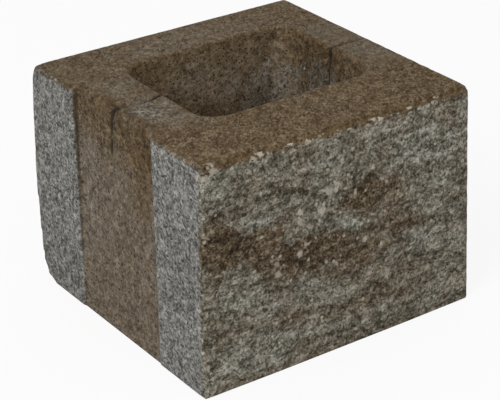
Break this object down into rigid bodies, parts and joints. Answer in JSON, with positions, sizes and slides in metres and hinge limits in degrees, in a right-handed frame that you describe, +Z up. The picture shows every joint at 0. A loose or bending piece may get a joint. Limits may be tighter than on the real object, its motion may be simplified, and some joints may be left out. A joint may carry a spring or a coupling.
{
  "type": "concrete planter block",
  "caption": "Hollow split-face concrete wall block whose drafted pocket takes soil and plants, with a recessed left side between split strips and splitting grooves over its webs.",
  "frame": {"origin": "middle of the block's outline seen from above, on the underside, where it stands on the ground", "axes": "+Z up, -Y out of the split front, -X out of the recessed left side, +X along the front"},
  "size_m": [0.225, 0.211, 0.165],
  "materials": {
    "concrete": "split and cast concrete, matt, brown and grey"
  },
  "bodies": {
    "root": {"planter_block": "concrete"}
  },
  "joints": []
}
